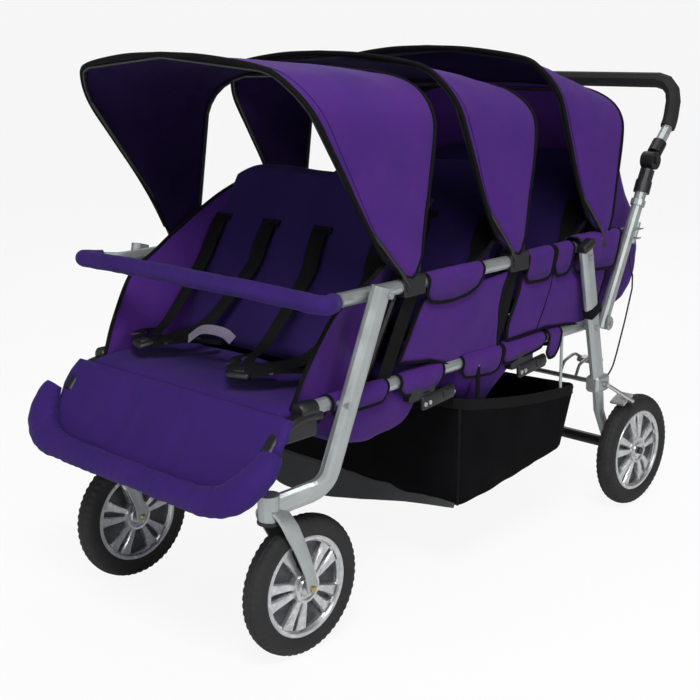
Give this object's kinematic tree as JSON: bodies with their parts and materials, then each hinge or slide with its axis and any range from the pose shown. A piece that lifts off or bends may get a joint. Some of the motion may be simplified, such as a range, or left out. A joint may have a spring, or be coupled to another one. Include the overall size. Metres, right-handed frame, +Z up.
{
  "type": "six-seat stroller",
  "caption": "Long folding stroller with rows of paired seats, cloth canopies on hoops, swivel front wheels, a tilting push handle and a cloth basket below.",
  "frame": {"origin": "on the floor under the middle of the stroller's outer box", "axes": "+Z up, the front faces -Y, +X to the right-hand side seen by someone standing in front"},
  "size_m": [0.7568, 1.467, 1.1254],
  "materials": {
    "silver": "silver paint, satin",
    "black_plastic": "black moulded plastic, fine grain",
    "black_tube": "black powder coat",
    "steel": "zinc plated steel",
    "tyre": "dark foam-filled rubber tyre",
    "rim": "silver moulded rim",
    "purple": "purple woven polyester",
    "black_cloth": "black woven polyester",
    "foam": "black foam grip"
  },
  "bodies": {
    "lower_frame": {"lower_rail_left": "silver", "side_panel_left": "purple", "lower_rail_right": "silver", "side_panel_right": "purple", "seat_bar_1": "black_plastic", "seat_cushion_1": "purple", "seat_bar_2": "black_plastic", "seat_cushion_2": "purple", "seat_bar_3": "black_plastic", "seat_cushion_3": "purple", "basket": "black_cloth"},
    "front_legs": {"front_leg_left": "silver", "front_leg_right": "silver"},
    "rear_legs": {"rear_post_left": "silver", "rear_post_right": "silver", "rear_axle": "black_tube"},
    "brake": {"brake_bar": "steel"},
    "upper_frame": {"upper_rail_left": "silver", "upper_rail_right": "silver", "bumper_bar": "purple", "canopy_frame_1": "black_plastic", "canopy_frame_2": "black_plastic", "canopy_frame_3": "black_plastic", "canopy_cloth_1": "purple", "canopy_cloth_2": "purple", "canopy_cloth_3": "purple"},
    "footrest": {"footrest_frame": "black_tube", "footrest_pad": "purple"},
    "handle": {"handle_tube_left": "silver", "handle_tube_right": "silver", "adjuster_base_left": "black_plastic", "adjuster_base_right": "black_plastic", "lock_cable_left": "black_plastic", "lock_cable_right": "black_plastic"},
    "handle_bar": {"handle_bar": "silver", "handle_grip": "foam", "adjuster_cap_left": "black_plastic", "adjuster_cap_right": "black_plastic"},
    "caster_left": {"fork_left": "silver"},
    "front_wheel_left": {"tyre_front_left": "tyre", "rim_front_left": "rim"},
    "rear_wheel_left": {"tyre_rear_left": "tyre", "rim_rear_left": "rim"},
    "button_left": {"button_left": "black_plastic"},
    "caster_right": {"fork_right": "silver"},
    "front_wheel_right": {"tyre_front_right": "tyre", "rim_front_right": "rim"},
    "rear_wheel_right": {"tyre_rear_right": "tyre", "rim_rear_right": "rim"},
    "button_right": {"button_right": "black_plastic"},
    "back_frame_1": {"back_frame_1": "black_tube"},
    "backrest_1": {"backrest_pad_1": "purple"},
    "canopy_1": {"front_bow_1": "black_plastic"},
    "back_frame_2": {"back_frame_2": "black_tube"},
    "backrest_2": {"backrest_pad_2": "purple"},
    "canopy_2": {"front_bow_2": "black_plastic"},
    "back_frame_3": {"back_frame_3": "black_tube"},
    "backrest_3": {"backrest_pad_3": "purple", "rear_cover": "purple"},
    "canopy_3": {"front_bow_3": "black_plastic"}
  },
  "joints": [
    {"name": "frame_fold", "type": "hinge", "parent": "lower_frame", "child": "front_legs", "pos_m": [0, -0.4605, 0.5], "axis": [1, 0, 0], "range_deg": [0, 45], "deforming": ["side_panel_left", "side_panel_right"]},
    {"name": "rear_leg_fold", "type": "hinge", "parent": "lower_frame", "child": "rear_legs", "pos_m": [0, 0.3545, 0.5], "axis": [1, 0, 0], "range_deg": [0, 22.5]},
    {"name": "upper_frame_lift", "type": "hinge", "parent": "front_legs", "child": "upper_frame", "pos_m": [0, -0.3745, 0.695], "axis": [1, 0, 0], "range_deg": [-45, 0]},
    {"name": "back_frame_1_fold", "type": "hinge", "parent": "lower_frame", "child": "back_frame_1", "pos_m": [0, -0.3575, 0.5], "axis": [1, 0, 0], "range_deg": [0, 45]},
    {"name": "back_frame_2_fold", "type": "hinge", "parent": "lower_frame", "child": "back_frame_2", "pos_m": [0, -0.0245, 0.5], "axis": [1, 0, 0], "range_deg": [0, 45]},
    {"name": "back_frame_3_fold", "type": "hinge", "parent": "lower_frame", "child": "back_frame_3", "pos_m": [0, 0.3085, 0.5], "axis": [1, 0, 0], "range_deg": [0, 45]},
    {"name": "caster_left_swivel", "type": "hinge", "parent": "front_legs", "child": "caster_left", "pos_m": [-0.266, -0.5885, 0.292], "axis": [0, 0, 1], "continuous": true},
    {"name": "front_wheel_left_spin", "type": "hinge", "parent": "caster_left", "child": "front_wheel_left", "pos_m": [-0.266, -0.5135, 0.14], "axis": [1, 0, 0], "continuous": true},
    {"name": "rear_wheel_left_spin", "type": "hinge", "parent": "rear_legs", "child": "rear_wheel_left", "pos_m": [-0.313, 0.5935, 0.14], "axis": [1, 0, 0], "continuous": true},
    {"name": "caster_right_swivel", "type": "hinge", "parent": "front_legs", "child": "caster_right", "pos_m": [0.266, -0.5885, 0.292], "axis": [0, 0, 1], "continuous": true},
    {"name": "front_wheel_right_spin", "type": "hinge", "parent": "caster_right", "child": "front_wheel_right", "pos_m": [0.266, -0.5135, 0.14], "axis": [1, 0, 0], "continuous": true},
    {"name": "rear_wheel_right_spin", "type": "hinge", "parent": "rear_legs", "child": "rear_wheel_right", "pos_m": [0.313, 0.5935, 0.14], "axis": [1, 0, 0], "continuous": true},
    {"name": "brake_pedal_press", "type": "hinge", "parent": "rear_legs", "child": "brake", "pos_m": [0, 0.41444, 0.352], "axis": [-1, 0, 0], "range_deg": [0, 6.5]},
    {"name": "canopy_1_fold", "type": "hinge", "parent": "upper_frame", "child": "canopy_1", "pos_m": [0, -0.2915, 0.695], "axis": [-1, 0, 0], "range_deg": [0, 39], "deforming": ["canopy_cloth_1"]},
    {"name": "canopy_2_fold", "type": "hinge", "parent": "upper_frame", "child": "canopy_2", "pos_m": [0, 0.0415, 0.695], "axis": [-1, 0, 0], "range_deg": [0, 31.5], "deforming": ["canopy_cloth_2"]},
    {"name": "canopy_3_fold", "type": "hinge", "parent": "upper_frame", "child": "canopy_3", "pos_m": [0, 0.3745, 0.695], "axis": [-1, 0, 0], "range_deg": [0, 31], "deforming": ["canopy_cloth_3"]},
    {"name": "backrest_1_recline", "type": "hinge", "parent": "back_frame_1", "child": "backrest_1", "pos_m": [0, -0.3435, 0.5], "axis": [-1, 0, 0], "range_deg": [-10, 10]},
    {"name": "backrest_2_recline", "type": "hinge", "parent": "back_frame_2", "child": "backrest_2", "pos_m": [0, -0.0105, 0.5], "axis": [-1, 0, 0], "range_deg": [-10, 10]},
    {"name": "backrest_3_recline", "type": "hinge", "parent": "back_frame_3", "child": "backrest_3", "pos_m": [0, 0.3225, 0.5], "axis": [-1, 0, 0], "range_deg": [-10, 10]},
    {"name": "footrest_lift", "type": "hinge", "parent": "lower_frame", "child": "footrest", "pos_m": [0, -0.5625, 0.4677], "axis": [-1, 0, 0], "range_deg": [0, 30]},
    {"name": "handle_fold", "type": "hinge", "parent": "lower_frame", "child": "handle", "pos_m": [0, 0.4135, 0.5], "axis": [-1, 0, 0], "range_deg": [0, 67], "deforming": ["lock_cable_left", "lock_cable_right"]},
    {"name": "handle_tilt", "type": "hinge", "parent": "handle", "child": "handle_bar", "pos_m": [0, 0.5655, 0.863], "axis": [-1, 0, 0], "range_deg": [-40, 30]},
    {"name": "tilt_button_left_press", "type": "slide", "parent": "handle_bar", "child": "button_left", "axis": [1, 0, 0], "range_m": [0, 0.004], "stiffness_N_per_m": 300, "springref_m": -0.002},
    {"name": "tilt_button_right_press", "type": "slide", "parent": "handle_bar", "child": "button_right", "axis": [-1, 0, 0], "range_m": [0, 0.004], "stiffness_N_per_m": 300, "springref_m": -0.002}
  ],
  "couplings": [
    {"joint": "rear_leg_fold", "follows": "frame_fold", "ratio": 0.49},
    {"joint": "upper_frame_lift", "follows": "frame_fold", "ratio": -1},
    {"joint": "back_frame_1_fold", "follows": "frame_fold", "ratio": 1},
    {"joint": "back_frame_2_fold", "follows": "frame_fold", "ratio": 1},
    {"joint": "back_frame_3_fold", "follows": "frame_fold", "ratio": 1}
  ]
}
